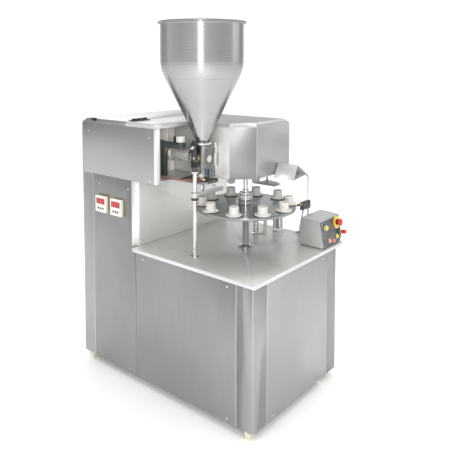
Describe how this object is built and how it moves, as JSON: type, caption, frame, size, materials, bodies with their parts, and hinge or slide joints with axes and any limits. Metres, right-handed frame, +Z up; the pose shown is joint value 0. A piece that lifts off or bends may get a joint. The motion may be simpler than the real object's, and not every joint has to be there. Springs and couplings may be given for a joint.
{
  "type": "rotary tube filling machine",
  "caption": "Floor-standing stainless filling machine with a round hopper, dosing valve, indexing turntable of white holders, sealing heads, discharge chute and control box.",
  "frame": {"origin": "centre of the bounding box's bottom face, on the floor", "axes": "+X to the right along the front panel, +Y from the front to the back, +Z up"},
  "size_m": [0.864, 1.3428, 2.037],
  "materials": {
    "stainless_sheet": "vertical brushed grain, satin",
    "polished_bar": "polished",
    "white_nylon": "turned, slightly waxy",
    "foot_plastic": "moulded, yellowed",
    "black_plastic": "moulded, fine texture",
    "controller_plastic": "moulded, semi-gloss",
    "anodised_profile": "extruded and clear anodised",
    "dark_fitting": "dark anodised, worn edges",
    "frame_paint": "grey primer",
    "red_button_plastic": "moulded, glossy",
    "yellow_button_plastic": "moulded, glossy"
  },
  "bodies": {
    "machine": {"base_frame": "frame_paint", "foot_front_left": "foot_plastic", "foot_front_right": "foot_plastic", "foot_rear_left": "foot_plastic", "foot_rear_right": "foot_plastic", "left_corner_cover": "stainless_sheet", "front_panel": "stainless_sheet", "right_side_cover": "stainless_sheet", "left_panel": "stainless_sheet", "cabinet_left_panel": "stainless_sheet", "rear_cover": "stainless_sheet", "column_front_panel": "stainless_sheet", "table_top": "stainless_sheet", "controller_1": "controller_plastic", "controller_2": "controller_plastic", "head_left_cover": "stainless_sheet", "head_rear_cover": "stainless_sheet", "wing_cover": "stainless_sheet", "head_deck": "stainless_sheet", "head_top_front": "stainless_sheet", "lid_hinge_left": "black_plastic", "lid_hinge_right": "black_plastic", "hopper": "stainless_sheet", "valve_body": "dark_fitting", "valve_bracket": "stainless_sheet", "dosing_cylinder": "stainless_sheet", "air_cylinder": "dark_fitting", "front_post": "polished_bar", "guide_bar": "stainless_sheet", "index_drive": "frame_paint", "lifter_cylinder": "polished_bar", "clamp_cylinder": "anodised_profile", "discharge_chute": "stainless_sheet", "chute_rod": "polished_bar", "index_sensor": "dark_fitting", "control_box": "stainless_sheet"},
    "turntable": {"turntable_plate": "stainless_sheet", "turntable_spindle": "polished_bar", "puck_1": "white_nylon", "puck_2": "white_nylon", "puck_3": "white_nylon", "puck_4": "white_nylon", "puck_5": "white_nylon", "puck_6": "white_nylon", "puck_7": "white_nylon", "puck_8": "white_nylon", "puck_9": "white_nylon", "puck_10": "white_nylon"},
    "rear_lid": {"rear_lid": "stainless_sheet"},
    "nozzle": {"nozzle": "polished_bar"},
    "sealing_head_1": {"sealing_head_1": "polished_bar"},
    "sealing_head_2": {"sealing_head_2": "polished_bar"},
    "lifter_rod": {"lifter_rod": "polished_bar"},
    "dosing_piston": {"dosing_piston": "polished_bar"},
    "valve_lever": {"valve_lever": "dark_fitting"},
    "air_rod": {"air_rod": "polished_bar"},
    "estop_button": {"estop_button": "red_button_plastic"},
    "yellow_button": {"yellow_button": "yellow_button_plastic"},
    "red_button": {"red_button": "red_button_plastic"},
    "selector_knob": {"selector_knob": "red_button_plastic"}
  },
  "joints": [
    {"name": "turntable_turn", "type": "hinge", "parent": "machine", "child": "turntable", "pos_m": [-0.006, -0.26661, 1.015], "axis": [0, 0, 1], "continuous": true},
    {"name": "rear_lid_swing", "type": "hinge", "parent": "machine", "child": "rear_lid", "pos_m": [-0.006, 0.28639, 1.489], "axis": [1, 0, 0], "range_deg": [0, 85]},
    {"name": "nozzle_slide", "type": "slide", "parent": "machine", "child": "nozzle", "axis": [0, 0, -1], "range_m": [0, 0.016]},
    {"name": "sealing_head_1_slide", "type": "slide", "parent": "machine", "child": "sealing_head_1", "axis": [0, 0, -1], "range_m": [0, 0.02]},
    {"name": "sealing_head_2_slide", "type": "slide", "parent": "machine", "child": "sealing_head_2", "axis": [0, 0, -1], "range_m": [0, 0.02]},
    {"name": "lifter_slide", "type": "slide", "parent": "machine", "child": "lifter_rod", "axis": [0, 0, 1], "range_m": [0, 0.02]},
    {"name": "dosing_slide", "type": "slide", "parent": "machine", "child": "dosing_piston", "axis": [0, 1, 0], "range_m": [0, 0.06]},
    {"name": "air_rod_slide", "type": "slide", "parent": "machine", "child": "air_rod", "axis": [0, 1, 0], "range_m": [-0.0335, 0.0335]},
    {"name": "valve_lever_turn", "type": "hinge", "parent": "machine", "child": "valve_lever", "pos_m": [-0.23, -0.08417, 1.295], "axis": [-1, 0, 0], "range_deg": [-30, 30]},
    {"name": "estop_press", "type": "slide", "parent": "machine", "child": "estop_button", "axis": [0, 0.9867, -0.1623], "range_m": [0, 0.004], "stiffness_N_per_m": 800},
    {"name": "yellow_press", "type": "slide", "parent": "machine", "child": "yellow_button", "axis": [0, 0.9867, -0.1623], "range_m": [0, 0.004], "stiffness_N_per_m": 400},
    {"name": "red_press", "type": "slide", "parent": "machine", "child": "red_button", "axis": [0, 0.9867, -0.1623], "range_m": [0, 0.003], "stiffness_N_per_m": 400},
    {"name": "selector_turn", "type": "hinge", "parent": "machine", "child": "selector_knob", "pos_m": [0.406, -0.6247, 0.844], "axis": [0, -0.9867, 0.1623], "range_deg": [-45, 45]}
  ],
  "couplings": [
    {"joint": "valve_lever_turn", "follows": "air_rod_slide", "rad_per_m": 15.504}
  ]
}
